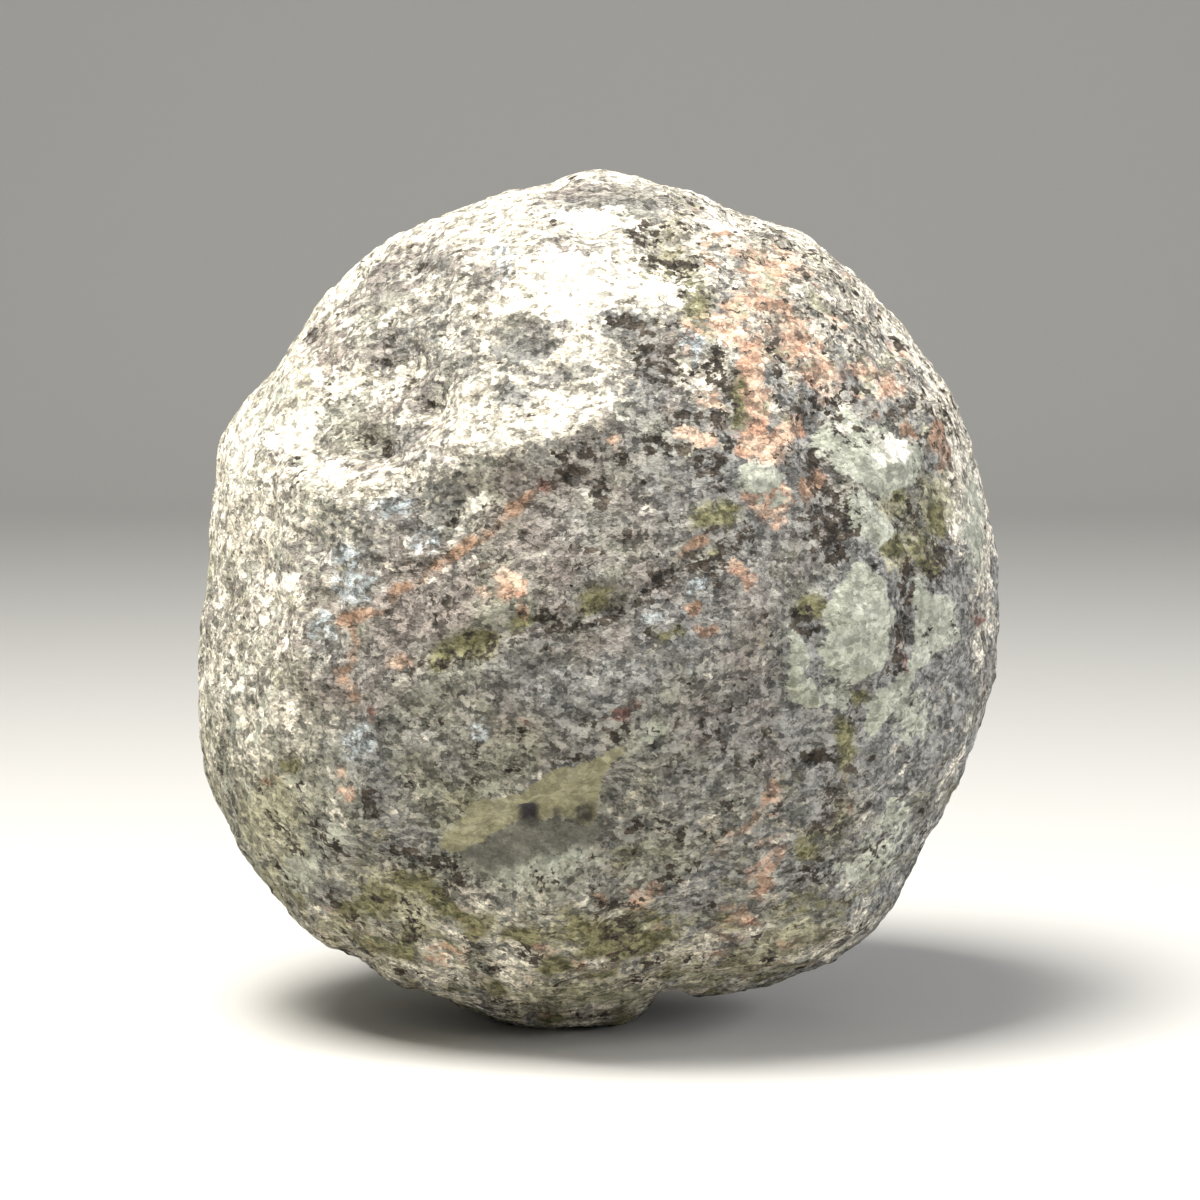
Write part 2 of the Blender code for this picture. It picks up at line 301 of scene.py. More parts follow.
def weathering(points, facing):
    """Lumps and creases of every size. The coarse ones fade at the outline, which already holds its own."""
    height = np.zeros(len(points))
    for seed, (size, tall, creased) in enumerate(WEATHERING):
        noise = gradient_noise(points, size, seed)
        fade = facing**2 if size > COARSE else RIM_SHARE + (1.0 - RIM_SHARE) * np.abs(facing)
        height += tall * fade * (0.25 - np.abs(noise) if creased else noise)
    return height


def seen_from_eye(directions):
    """How far each direction goes to the right, towards the eye and upwards as the eye sees it."""
    tilt = math.radians(EYE_TILT)
    facing = -directions[:, 1] * math.cos(tilt) + directions[:, 2] * math.sin(tilt)
    rise = directions[:, 1] * math.sin(tilt) + directions[:, 2] * math.cos(tilt)
    return directions[:, 0], facing, rise


def shown(radius, side, facing, rise):
    """Where a place at this radius shows from the eye: across and up from the stone's middle."""
    nearer = 1.0 - radius * facing / EYE_DISTANCE
    return radius * side / nearer, radius * rise / nearer


def crust(directions):
    """The crust's radius in millimetres for each direction."""
    side, facing, rise = seen_from_eye(directions)
    turn = np.arctan2(rise, side) % (2.0 * math.pi)
    depth = np.where(facing > 0.0, FRONT_DEPTH, BACK_DEPTH)
    radius = 1.0 / np.sqrt((side**2 + rise**2) / rim_radius(turn) ** 2 + (facing / depth) ** 2)
    points = directions * radius[:, None]
    across, up = shown(radius, side, facing, rise)
    wandered = (
        across + WANDER * gradient_noise(points, WANDER_SIZE, 20),
        up + WANDER * gradient_noise(points, WANDER_SIZE, 21),
    )
    height = ease(facing, *FRONT_FADE) * front_relief(*wandered)
    height += ease(facing, *BACK_FADE) * scattered(directions, 7, *SIDE_SWELLS)
    height += scattered(directions, 8, *CRUST_PITS)
    height += outline_knobs(side, rise, facing) + weathering(points, facing)
    return radius + height


directions, quads = ball(GRID)
radius = crust(directions)
side, facing, rise = seen_from_eye(directions)
across, up = shown(radius, side, facing, rise)
spots = directions * radius[:, None]

# The crust's stains: iron, clay, lime and algae from the ground, soaked in or lying on as thin
# plates. Those of the front are where they show: across and up from the stone's middle, half width,
# half height and turn. Those of the sides and the back fall in seeded patches of the same sizes.
# Some marks also stand in for light and shade: painted shade in the pits, the scar's holes, under
# the olive crease and round the plates, and painted light along the outline and low on the stone.
WHITE_PATCHES = (
    (-3.5, 38.0, 6.5, 4.5, 0),
    (-1.5, 45.6, 5.0, 1.6, 0),
    (6.5, 37.0, 4.0, 2.4, -10),
    (13.8, 45.0, 2.2, 1.0, -15),
    (-37.0, 20.0, 4.2, 2.0, 25),
    (-43.0, 18.0, 2.4, 3.0, -30),
    (-32.8, 15.5, 2.6, 1.4, -15),
    (-37.6, 1.5, 1.4, 1.3, 0),
    (-12.8, 18.4, 2.6, 1.0, 17),
    (-5.6, 20.6, 2.8, 1.1, 17),
    (-15.0, 10.8, 1.9, 1.2, 15),
    (34.8, 17.8, 2.2, 1.8, 0),
    (28.8, 20.3, 1.2, 0.9, 0),
)
BLUISH_SPOTS = (
    (-25.4, 11.0, 2.6, 1.8, 0),
    (-21.2, 7.1, 2.2, 2.3, 0),
    (-29.5, 1.6, 2.3, 2.4, 0),
    (-30.6, 4.8, 2.2, 2.0, 0),
    (-33.2, -4.0, 1.9, 2.8, -20),
    (-29.0, -17.0, 1.8, 2.4, 0),
    (-11.5, 41.0, 1.3, 2.2, 0),
    (11.2, 30.7, 1.8, 2.4, 0),
    (5.6, -2.4, 1.6, 0.8, 15),
    (10.8, 1.6, 1.8, 0.8, 10),
    (10.0, -8.9, 0.8, 1.0, 0),
    (-14.6, -16.0, 1.4, 1.2, 0),
)
CHARCOAL_PATCHES = (
    (-3.0, 16.2, 2.4, 2.2, 0),
    (0.0, 12.2, 1.4, 1.8, 0),
    (2.4, 16.8, 1.4, 1.2, 0),
    (-22.8, 3.8, 1.6, 0.8, 0),
    (-18.0, 9.5, 1.0, 1.0, 0),
    (4.0, 33.5, 2.8, 0.7, 0),
    (7.0, 18.8, 2.4, 1.5, 0),
    (9.4, 22.0, 1.8, 1.3, 0),
    (15.6, 34.2, 2.2, 0.6, -10),
    (6.0, 29.5, 2.5, 2.1, 0),
    (7.5, 27.0, 2.4, 1.2, 0),
    (5.6, 44.0, 1.6, 1.4, 0),
    (6.0, 40.6, 1.4, 1.0, 0),
    (9.6, 38.0, 1.3, 1.3, 0),
    (18.2, 40.7, 1.6, 0.8, 0),
    (22.0, 42.6, 1.3, 0.8, 0),
    (19.0, 37.2, 1.3, 0.9, 0),
    (22.7, 35.6, 1.4, 1.0, 0),
    (24.5, 40.0, 2.2, 1.3, -35),
    (14.0, 28.8, 1.6, 1.7, 0),
    (20.7, 30.0, 1.0, 1.4, 0),
    (26.8, 24.0, 2.1, 1.4, 0),
    (37.1, 23.3, 1.1, 1.2, 0),
    (25.4, 16.8, 1.3, 1.4, 0),
    (27.8, 9.0, 2.8, 3.0, 10),
    (37.8, 10.4, 1.0, 1.4, 0),
    (40.2, 5.0, 1.3, 2.4, 0),
    (17.4, 7.9, 1.5, 0.9, 0),
    (12.6, 3.6, 3.4, 1.7, 10),
    (15.4, 5.8, 1.8, 1.2, 0),
    (27.4, 5.4, 2.0, 1.4, 0),
    (27.4, 13.0, 1.3, 1.1, 0),
    (28.0, -24.0, 1.6, 1.5, 0),
    (-5.8, -1.8, 2.2, 0.9, 20),
    (1.4, -1.4, 0.9, 0.9, 0),
    (5.2, -4.3, 0.7, 0.9, 0),
    (25.0, -3.0, 1.5, 1.5, 0),
    (37.3, 9.8, 0.9, 2.2, 0),
    (41.2, 5.6, 1.4, 1.2, 0),
    (26.3, -19.0, 2.0, 1.2, 0),
    (30.2, -20.6, 1.0, 0.6, 0),
    (28.0, -27.0, 1.7, 1.4, 0),
    (25.0, -33.5, 2.6, 1.0, -10),
    (-17.7, -32.6, 1.3, 2.2, 0),
    (-28.0, -24.0, 0.8, 0.8, 0),
    (-8.6, -42.5, 1.2, 0.7, 0),
    (1.3, -39.9, 1.1, 1.3, 0),
    (-4.9, 45.4, 2.2, 0.5, -15),
    (-34.8, 31.4, 0.8, 0.9, 0),
    (13.2, 21.6, 1.6, 1.3, 0),
    (13.6, 27.4, 1.3, 2.4, 0),
    (12.4, 17.4, 3.0, 0.9, -10),
    (15.4, 25.6, 0.9, 2.0, 0),
    (15.4, 18.2, 1.5, 1.6, 0),
    (13.0, 15.6, 2.0, 1.0, 0),
    (22.6, 17.8, 1.0, 1.2, 0),
    (14.6, 12.8, 1.2, 0.9, 0),
    (16.4, 26.9, 1.0, 1.4, 0),
    (21.3, 26.6, 0.8, 1.3, 0),
    (28.6, 31.6, 1.2, 0.8, -30),
    (31.4, 24.6, 1.1, 0.9, 0),
    (35.2, 22.2, 0.9, 0.8, 0),
    (36.4, 8.8, 1.1, 1.0, 0),
    (-8.5, -42.8, 1.3, 1.0, 0),
    (2.4, -39.3, 1.3, 1.3, 0),
    (4.8, -45.4, 1.1, 0.5, 0),
    (-18.7, -36.0, 1.6, 0.5, -50),
    (-22.6, -38.4, 1.5, 0.8, -20),
    (-14.0, -44.6, 1.2, 0.7, 0),
    (12.0, -43.4, 1.6, 0.6, 10),
)
# Pit mouths, darkened as painted shade with some earth left in them, and a dark band at the left of the
# scar.
PIT_MOUTHS = (
    (-28.1, 19.2, 1.8, 1.1, 0),
    (-25.4, 17.6, 0.8, 0.5, 0),
    (-21.3, 40.2, 1.7, 0.9, 10),
    (-25.0, 31.4, 0.9, 1.7, -20),
    (-25.6, 28.4, 1.2, 0.6, 0),
    (-22.6, 26.0, 0.9, 0.8, 0),
    (-21.0, 23.9, 1.2, 0.7, 0),
    (-35.6, 31.8, 0.6, 1.0, -30),
)
DARK_BAND = ((-25.4, -30.4), (-21.0, -32.0), (-16.6, -33.2))
GREY_HOLLOW = (
    (-21.5, 39.6, 4.4, 2.0, 5),
    (-24.0, 36.2, 4.6, 3.3, 25),
    (-25.9, 30.8, 2.9, 2.6, 30),
    (-18.4, 29.3, 3.0, 2.4, 0),
    (-29.6, 19.6, 3.8, 3.2, 10),
    (-21.8, 18.6, 3.0, 2.0, 0),
    (-32.6, 31.0, 2.2, 1.8, 40),
    (-9.4, 31.0, 2.8, 2.4, 0),
    (-6.5, 33.5, 1.8, 0.9, 0),
    (-21.0, 24.5, 2.2, 1.8, 0),
    (-11.0, 24.6, 1.8, 1.0, 10),
    (-39.5, 13.4, 1.6, 1.8, 0),
    (-38.0, 17.0, 1.4, 0.9, 0),
    (-3.6, 42.6, 2.4, 0.8, 0),
    (-13.5, 38.5, 1.8, 1.4, 0),
    (0.5, 47.6, 5.5, 1.6, 0),
    (2.6, 33.0, 2.6, 1.3, 0),
    (-4.0, 27.0, 2.6, 0.7, 12),
)
# Tan mineral, which also lies under the olive.
TAN_PATCHES = (
    (-40.2, -26.0, 3.6, 4.8, -20),
    (-37.4, -31.8, 2.4, 3.8, -25),
    (-31.4, -39.3, 2.0, 1.2, -20),
    (-24.0, -36.4, 5.0, 2.0, -38),
    (2.0, -40.6, 8.0, 2.4, 0),
    (22.7, -41.4, 3.8, 1.9, 20),
    (18.4, -43.8, 4.6, 1.6, 18),
    (12.8, -45.8, 3.4, 1.4, 10),
    (-2.0, -47.6, 9.0, 1.6, 0),
    (35.2, 11.4, 1.6, 2.0, 0),
    (41.0, 11.6, 2.4, 3.0, 0),
    (36.4, 5.0, 1.8, 1.8, 0),
    (40.4, 5.0, 1.4, 1.6, 0),
    (10.6, 37.4, 2.0, 3.0, 0),
)
OLIVE_PATCHES = (
    (-15.4, -5.6, 3.3, 1.5, 13),
    (-19.0, -7.6, 1.3, 0.9, 20),
    (-9.4, -3.0, 1.7, 1.0, 20),
    (-1.2, 0.0, 2.3, 1.5, 15),
    (7.9, -4.2, 2.3, 1.1, 5),
    (14.0, 9.9, 2.9, 1.5, 0),
    (13.7, 5.2, 1.2, 1.0, 0),
    (35.6, 12.2, 1.2, 1.3, 0),
    (40.6, 9.4, 1.5, 1.8, 0),
    (35.6, 6.4, 1.3, 1.2, 0),
    (39.4, 4.4, 1.2, 1.6, 0),
    (16.9, 23.6, 1.0, 3.0, 0),
    (25.6, -1.2, 2.0, 1.4, 0),
    (29.3, -18.5, 1.3, 3.4, 0),
    (30.6, -11.6, 2.2, 0.9, -15),
    (26.0, -31.6, 1.7, 1.2, 0),
    (-30.5, -37.2, 1.1, 1.1, 0),
    (-37.2, -20.1, 0.9, 0.9, 0),
    (-2.2, -39.2, 2.5, 1.9, 20),
    (-6.0, -44.6, 1.7, 1.4, 0),
    (6.3, -41.2, 2.9, 1.1, 5),
    (8.8, -43.4, 1.5, 0.7, 0),
    (-9.8, -40.7, 2.2, 0.9, -10),
    (-21.3, -33.6, 1.4, 1.0, 0),
)
# Places where olive only tints some of the grains.
OLIVE_HAZE = (
    (8.2, 39.4, 3.2, 5.6, 0),
    (11.8, 34.6, 2.2, 2.2, 0),
    (16.9, 23.4, 1.5, 3.8, 0),
    (37.6, 8.6, 3.6, 5.4, 0),
    (-25.0, -36.0, 6.0, 3.2, -35),
    (2.0, -41.0, 9.0, 3.6, 0),
    (28.0, -29.0, 4.0, 4.0, 0),
)
OLIVE_STREAK = ((-24.2, -33.6), (-21.8, -35.2), (-17.8, -37.9), (-14.6, -40.4))
SALMON_ARC = (
    (11.7, 33.0), (15.3, 32.4), (18.2, 30.4), (18.8, 27.5), (18.8, 23.7), (18.3, 18.0), (20.8, 17.5),
    (23.0, 20.2),
)
SALMON_STREAK = ((22.0, -22.8), (19.7, -25.4), (18.1, -28.0), (13.5, -29.7), (11.2, -31.3))
SALMON_PATCHES = (
    (24.6, 30.6, 2.9, 3.2, 0),
    (26.2, 27.4, 1.8, 1.8, 0),
    (14.0, 32.4, 3.0, 1.3, -5),
    (12.7, 24.0, 2.1, 0.8, -20),
    (11.1, 19.5, 2.5, 0.9, -20),
    (31.8, 27.3, 2.4, 1.2, -15),
    (34.6, 25.2, 1.7, 1.5, 0),
    (20.0, 39.6, 4.8, 3.2, -10),
    (18.8, 35.2, 4.2, 1.2, 0),
    (12.4, 42.6, 0.8, 1.4, 0),
    (20.4, 11.6, 3.2, 1.9, 0),
    (22.3, 9.3, 1.1, 0.8, 0),
    (16.9, 3.2, 1.8, 1.0, -45),
    (1.5, 18.8, 0.9, 0.8, 0),
    (20.0, -32.6, 1.8, 3.4, -15),
    (16.8, -38.8, 2.2, 2.0, 20),
    (14.6, -42.4, 2.4, 1.2, 20),
    (5.2, -36.0, 1.9, 2.2, 0),
    (-18.4, -43.0, 2.4, 1.5, 0),
    (-30.5, -22.8, 0.9, 3.0, 0),
    (-23.9, -7.9, 1.5, 1.0, 0),
    (-10.8, 1.2, 2.7, 1.8, 0),
)
RUST_SPOTS = (
    (12.5, -4.0, 1.6, 0.7, 5),
    (11.1, -1.4, 1.1, 1.0, 0),
    (11.4, 6.3, 1.9, 0.8, 25),
    (15.0, 43.3, 1.3, 0.6, 0),
    (13.7, 40.1, 1.0, 0.4, -30),
    (25.6, 13.8, 1.7, 1.7, 0),
    (37.1, 20.1, 1.0, 1.1, 0),
    (33.2, 22.3, 0.9, 0.9, 0),
    (40.2, 19.4, 0.8, 2.4, 0),
    (-9.1, -1.7, 0.6, 0.7, 0),
    (-39.5, -21.8, 1.0, 0.5, 0),
    (29.3, -23.8, 0.8, 2.0, 0),
    (-2.8, -43.9, 1.2, 0.9, 0),
    (19.6, -34.4, 1.7, 1.0, 10),
    (16.7, -37.7, 1.4, 1.1, 0),
    (15.4, -40.6, 1.8, 0.7, 15),
    (19.6, -30.6, 1.0, 0.8, 0),
    (-0.3, -36.2, 0.9, 0.6, 0),
)
RUST_VEIN = (
    (-6.2, 13.9), (-8.6, 12.0), (-11.4, 9.8), (-16.4, 5.8), (-19.4, 3.8), (-21.6, 2.0), (-24.5, 1.0),
    (-25.6, -0.8), (-27.4, -1.6), (-31.0, -2.4),
)
RUST_BRANCH = ((-31.3, -0.5), (-30.5, -2.6), (-29.8, -6.2), (-30.1, -8.0), (-30.6, -9.8), (-29.5, -12.0))
BROWN_CREASE = ((36.8, 4.6), (36.9, 1.6), (36.8, -2.0), (35.9, -6.6), (35.0, -8.6))
RUST_EDGE = ((40.8, 21.0), (41.4, 18.4), (41.2, 15.6))
MAROON_SPOTS = (
    (3.0, -13.4, 2.6, 1.0, 25),
    (-27.4, -14.2, 0.6, 1.2, 0),
    (-6.6, 13.2, 0.8, 1.0, 40),
    (35.8, -7.2, 0.8, 1.1, 20),
    (-8.9, -15.0, 0.9, 0.6, 0),
    (45.6, -2.6, 0.8, 0.9, 0),
)
# The outlines of the thin plates of pale mineral.
PLATES = (
    (
        (25.7, 19.2), (27.5, 21.1), (29.4, 22.4), (31.3, 21.1), (31.7, 19.6), (34.0, 20.4),
        (35.5, 19.2), (38.6, 17.6), (38.2, 15.7), (37.4, 13.4), (35.5, 13.4), (34.3, 11.9),
        (31.3, 13.8), (29.4, 15.0), (27.5, 16.6), (25.7, 17.6),
    ),
    (
        (29.4, 11.9), (31.4, 12.7), (33.2, 10.8), (35.5, 8.9), (35.2, 7.7), (33.6, 6.4), (32.2, 7.0),
        (30.0, 9.1), (29.2, 10.8),
    ),
    ((16.8, 15.4), (18.2, 15.9), (20.6, 15.8), (21.9, 14.4), (20.4, 13.2), (18.0, 12.9), (17.0, 13.9)),
    (
        (30.6, 3.8), (32.0, 3.8), (34.0, 2.3), (34.3, 0.1), (35.3, -1.8), (34.7, -3.2), (34.3, -6.2),
        (33.6, -8.2), (31.7, -9.2), (30.2, -10.0), (28.3, -9.6), (27.1, -8.3), (26.9, -6.2),
        (27.8, -4.9), (27.2, -2.9), (26.9, -1.4), (28.3, 0.8), (29.9, 2.3),
    ),
    (
        (38.0, 2.3), (39.1, 0.8), (41.8, -0.1), (42.5, -2.9), (42.8, -4.6), (41.4, -5.5), (39.5, -7.0),
        (38.0, -8.5), (36.2, -11.5), (34.3, -14.0), (32.4, -16.3), (31.7, -14.4), (33.2, -11.5),
        (35.8, -9.6), (37.7, -7.0), (38.0, -4.8), (37.7, -1.8), (37.8, 0.5),
    ),
    (
        (22.6, -3.7), (24.2, -4.8), (25.0, -6.6), (24.6, -9.2), (25.8, -11.5), (26.2, -13.0),
        (25.0, -13.0), (23.5, -12.2), (22.8, -10.0), (23.2, -7.4),
    ),
)
# Thin, patchy crusts of the same pale mineral.
PALE_CRUST = (
    (-9.8, -33.0, 6.0, 1.9, 5),
    (-5.0, -31.4, 5.0, 1.0, 5),
    (6.5, -16.4, 2.0, 1.2, 0),
    (37.6, -14.4, 2.6, 3.0, 0),
    (21.0, 11.6, 2.2, 1.3, 0),
    (45.0, 7.0, 1.2, 5.0, 5),
    (27.6, -11.8, 2.4, 1.6, 0),
    (32.8, -31.4, 4.4, 2.4, 40),
    (-36.0, -32.4, 2.6, 2.6, 0),
    (-32.0, -28.6, 2.4, 1.6, 0),
    (35.8, -26.6, 2.0, 2.2, 0),
    (45.2, 12.0, 1.2, 3.6, 8),
)
# A pale band along the right outline, partly pale crust and partly painted rim light.
PALE_RIM = (
    (40.2, 27.0), (42.6, 19.0), (44.6, 12.0), (46.4, 4.5), (46.6, -3.7), (45.8, -10.5), (43.4, -16.6),
    (42.0, -21.4), (39.6, -26.6), (37.6, -30.4),
)
# The smooth face that the scar's ledge shows.
BROKEN_FACE = (
    (
        (-19.4, -29.9), (-18.6, -28.1), (-17.0, -26.2), (-15.0, -24.7), (-12.4, -24.2), (-9.4, -23.6),
        (-7.4, -22.2), (-5.6, -20.8), (-3.0, -20.1), (-0.2, -19.2), (1.4, -18.2), (3.0, -17.2),
        (2.9, -18.4), (1.4, -19.6), (0.8, -21.2), (0.0, -22.8), (-0.4, -24.9), (-0.7, -27.1),
        (-2.6, -27.2), (-3.6, -26.8), (-5.3, -26.5), (-7.2, -26.9), (-9.8, -26.8), (-12.0, -27.9),
        (-14.4, -29.2), (-16.6, -30.6), (-18.2, -30.8),
    ),
)
# The holes that crystals left in it, one deep and two half filled, painted dark as the shade inside them,
# and the scar's floor.
DEEP_HOLE = (((-9.9, -25.1), (-7.7, -24.9), (-7.5, -27.1), (-9.7, -27.3)),)
FILLED_HOLES = (
    ((-6.0, -25.5), (-4.9, -25.5), (-4.8, -26.9), (-5.9, -27.0)),
    ((-3.2, -25.2), (-1.0, -25.1), (-0.8, -27.4), (-3.0, -27.6)),
)
SCAR_FLOOR = (
    (
        (-16.4, -30.6), (-12.0, -28.0), (-9.8, -27.0), (-7.4, -26.8), (-2.8, -27.2), (0.4, -27.6),
        (-0.6, -29.4), (-4.6, -30.4), (-7.8, -30.9), (-10.8, -32.2), (-14.8, -32.9),
    ),
)
# The lower edge of the bleached crust of the top, from the left side to the right.
BLEACHED_EDGE = (
    (-48.0, 10.0), (-34.0, 11.2), (-27.1, 10.8), (-20.0, 13.8), (-14.3, 15.8),
    (-6.9, 17.2), (-1.0, 19.0), (3.0, 25.0), (9.0, 34.0), (22.0, 33.0), (40.0, 26.0),
)
# The stains' edges stray over waves of these sizes, by this much.
RAGGED = (
    (6.0, 0.9),
    (3.0, 1.1),
    (1.5, 0.9),
)
# Broad regions of the crust, each from where it starts to where it is full: across, then up, and
# only up for the last two.
LEFT_FLANK = ((-20.0, -42.0), (-52.0, -20.0))
RIGHT_FLANK = ((39.5, 43.0), (1.0, 10.0), (34.0, 24.0))
UNDER_LIP = ((-4.0, -22.0), (-4.0, 6.0))
RIGHT_TOP = ((2.0, 12.0), (10.0, 23.0))
LOW = (-14.0, -30.0)
BOTTOM = (-31.0, -42.0)
# Two dark belts: the middle across, the half width, the middle up and the half height, with the
# half sizes from where the belt starts to where it is full.
DARK_BELTS = (
    (0.0, (26.0, 14.0), 3.5, (7.5, 4.0)),
    (2.0, (24.0, 16.0), -16.5, (7.0, 3.0)),
)


def ragged(places, seed):
    """Places with waves of three sizes added, so that a mark's edge isn't a clean curve."""
    return places + sum(
        reach * gradient_noise(spots, size, seed + step) for step, (size, reach) in enumerate(RAGGED)
    )


def strayed(stray):
    """Each place as the stains' edges see it, moved by this share of the full raggedness."""
    return across + stray * (ragged_across - across), up + stray * (ragged_up - up)


def patches(rows, outer=1.9, inner=0.2, stray=1.0):
    """1 within the inner share of each oval, 0 past the outer one, and the most of these where two meet."""
    places = strayed(stray)
    cover = np.zeros(len(across))
    for middle, level, half_width, half_height, turn in rows:
        x, y = turned(*places, middle, level, turn)
        cover = np.maximum(cover, ease(np.hypot(x / half_width, y / half_height), outer, inner))
    return cover


def streak(path, half_width, outer=2.0, inner=0.2, stray=1.0):
    """1 along a path and 0 past the outer share of its half width."""
    return ease(np.abs(along(*strayed(stray), path)[0]) / half_width, outer, inner)


def inside(outlines, stray):
    """How far inside the nearest of some closed outlines each place is, with places outside below zero."""
    x, y = strayed(stray)
    deepest = np.full(len(x), -np.inf)
    for outline in outlines:
        closed = outline + outline[:1]
        odd = np.zeros(len(x), bool)
        for (x0, y0), (x1, y1) in zip(closed, closed[1:]):
            beyond = x < x0 + (y - y0) * (x1 - x0) / ((y1 - y0) or 1.0)
            odd ^= ((y0 > y) != (y1 > y)) & beyond
        distance = np.abs(along(x, y, closed)[0])
        deepest = np.maximum(deepest, np.where(odd, distance, -distance))
    return deepest


def region(across_limits, *up_limits):
    """1 inside a broad region of the crust and 0 outside it, with a ragged edge."""
    cover = ease(ragged_across, *across_limits)
    for limits in up_limits:
        cover = cover * ease(ragged_up, *limits)
    return cover


def drifts(size, level, seed):
    """Patches that cover the places where waves of this size rise above a level."""
    height = gradient_noise(spots, size, seed) + 0.45 * gradient_noise(spots, size / 2.3, seed + 1)
    return ease(height, level - 0.1, level + 0.22)


def shared(share, spread, size, seed):
    """A share of all the grains that drifts up and down by its spread over waves of this size."""
    return share + spread * gradient_noise(spots, size, seed)


ragged_across = ragged(across, 40)
ragged_up = ragged(up, 50)
# The front that the photo shows, the rest of the crust, and the part that is well behind the outline.
front = ease(facing + 0.10 * gradient_noise(spots, 6.0, 79), 0.02, 0.24)
hidden = 1.0 - front
behind = ease(facing, 0.06, -0.14)
height_share = spots[:, 2] / BALL_RADIUS
above_edge = along(ragged_across, ragged_up, BLEACHED_EDGE)[0]
round_side = ease(facing, -0.65, 0.0)
left_flank = round_side * region(*LEFT_FLANK)
right_flank = round_side * region(*RIGHT_FLANK)
under_lip = region(*UNDER_LIP)
right_top = region(*RIGHT_TOP)
middle = np.maximum.reduce([
    ease(np.abs(ragged_across - belt), *half_width) * ease(np.abs(ragged_up - level), *half_height)
    for belt, half_width, level, half_height in DARK_BELTS
])
low = ease(ragged_up, *LOW)
bottom = ease(ragged_up, *BOTTOM)

plate_depth = inside(PLATES, 0.5)
plates = ease(plate_depth, -0.9, 0.4)
far_crusts = behind * drifts(12.0, 0.24, 78)
# A ring just outside the pale plates, for the painted shadow at their raised edges.
painted_plate_shadow = ease(plate_depth, -1.6, -0.5) * (1.0 - plates)
scar_floor = front * ease(inside(SCAR_FLOOR, 0.5), -1.4, 0.8)
scar_face = front * ease(inside(BROKEN_FACE, 0.3), -0.3, 0.3)
scar = np.maximum(scar_floor, scar_face)
# Dark marks: clots of dark grains, a dark band and a brown crease, with painted shade in the pits, under the
# olive crease and round the plates.
dark_spots = np.maximum.reduce([
    0.60 * patches(CHARCOAL_PATCHES, 2.2, 0.4),
    0.50 * streak(DARK_BAND, 1.6),
    # painted shade in the pit mouths, with some earth
    0.62 * patches(PIT_MOUTHS, 1.8, 0.3),
    0.55 * streak(BROWN_CREASE, 0.9, stray=0.5),
    # painted shadow: a dark streak 1.3 mm below the olive crease, where the step above it throws shade
    0.50 * ease(np.abs(along(ragged_across, ragged_up + 1.3, OLIVE_CREASE)[0]), 1.8, 0.3),
    # painted shadow round the plates' edges, weaker low down
    (0.40 - 0.30 * ease(up, 2.0, -5.0)) * painted_plate_shadow,
    right_top * shared(0.33, 0.6, 3.0, 86),
])
salmon = np.maximum.reduce([
    patches(SALMON_PATCHES),
    streak(SALMON_ARC, 1.4),
    0.8 * streak(SALMON_STREAK, 1.1),
])
salmon *= (1.0 - 0.35 * ease(up, 4.0, -12.0)) * shared(0.95, 0.4, 2.6, 85)
dark_spots *= 1.0 - 0.6 * salmon
# The bleached crust fades 3 mm to either side of its edge at the left, and 8 mm at the right.
fading = 3.0 + 5.0 * ease(across, -24.0, -4.0)
bleach_and_painted_light = ease(above_edge / fading, -1.0, 1.0) * shared(0.80, 0.45, 4.5, 59)
bleach_and_painted_light -= bleach_and_painted_light * (0.85 * patches(GREY_HOLLOW, 2.1, 0.6) + 0.25 * right_top)
# The right outline's pale band, partly painted rim light, is heavier at the top and lighter low down.
rim_share = 0.60 + 0.30 * ease(up, -2.0, 12.0) - 0.50 * ease(up, -4.0, -13.0)
bleach_and_painted_light = front * np.maximum.reduce([
    bleach_and_painted_light,
    right_top * shared(0.52, 0.7, 5.0, 67) * (1.0 - 0.6 * ease(ragged_up, 25.0, 18.0)),
    # pale crust and painted rim light along the right outline
    streak(PALE_RIM, 1.3) * shared(rim_share, 1.0, 7.0, 87),
    under_lip * shared(0.36, 0.5, 5.0, 93),
    # the bottom painted lighter: partly pale crust, partly painted light thrown up from below
    bottom * shared(0.55, 0.8, 4.0, 88),
])
bleach_and_painted_light += hidden * 0.75 * ease(height_share + 0.5 * gradient_noise(spots, 14.0, 60), -0.1, 0.75)
bleach_and_painted_light = np.maximum.reduce([
    bleach_and_painted_light,
    # The left flank's pale crust, heavier towards its top, and lighter still at the left outline, where it
    # is partly painted rim light.
    left_flank * (shared(0.42, 0.6, 5.0, 89) + 0.20 * ease(ragged_up, -6.0, 10.0))
    + 0.14 * round_side * ease(across, -37.0, -44.0) * ease(up, -26.0, -10.0),
    # the right flank's pale crust, partly painted rim light
    right_flank * shared(0.82, 0.6, 4.0, 98),
    hidden * 0.55 * drifts(11.0, 0.22, 90),
    # a little lighter low down, partly painted light from below
    shared(0.14, 0.45, 3.5, 61) + 0.12 * low - 0.10 * middle,
])
bleach_and_painted_light -= 0.45 * front * bleach_and_painted_light * salmon
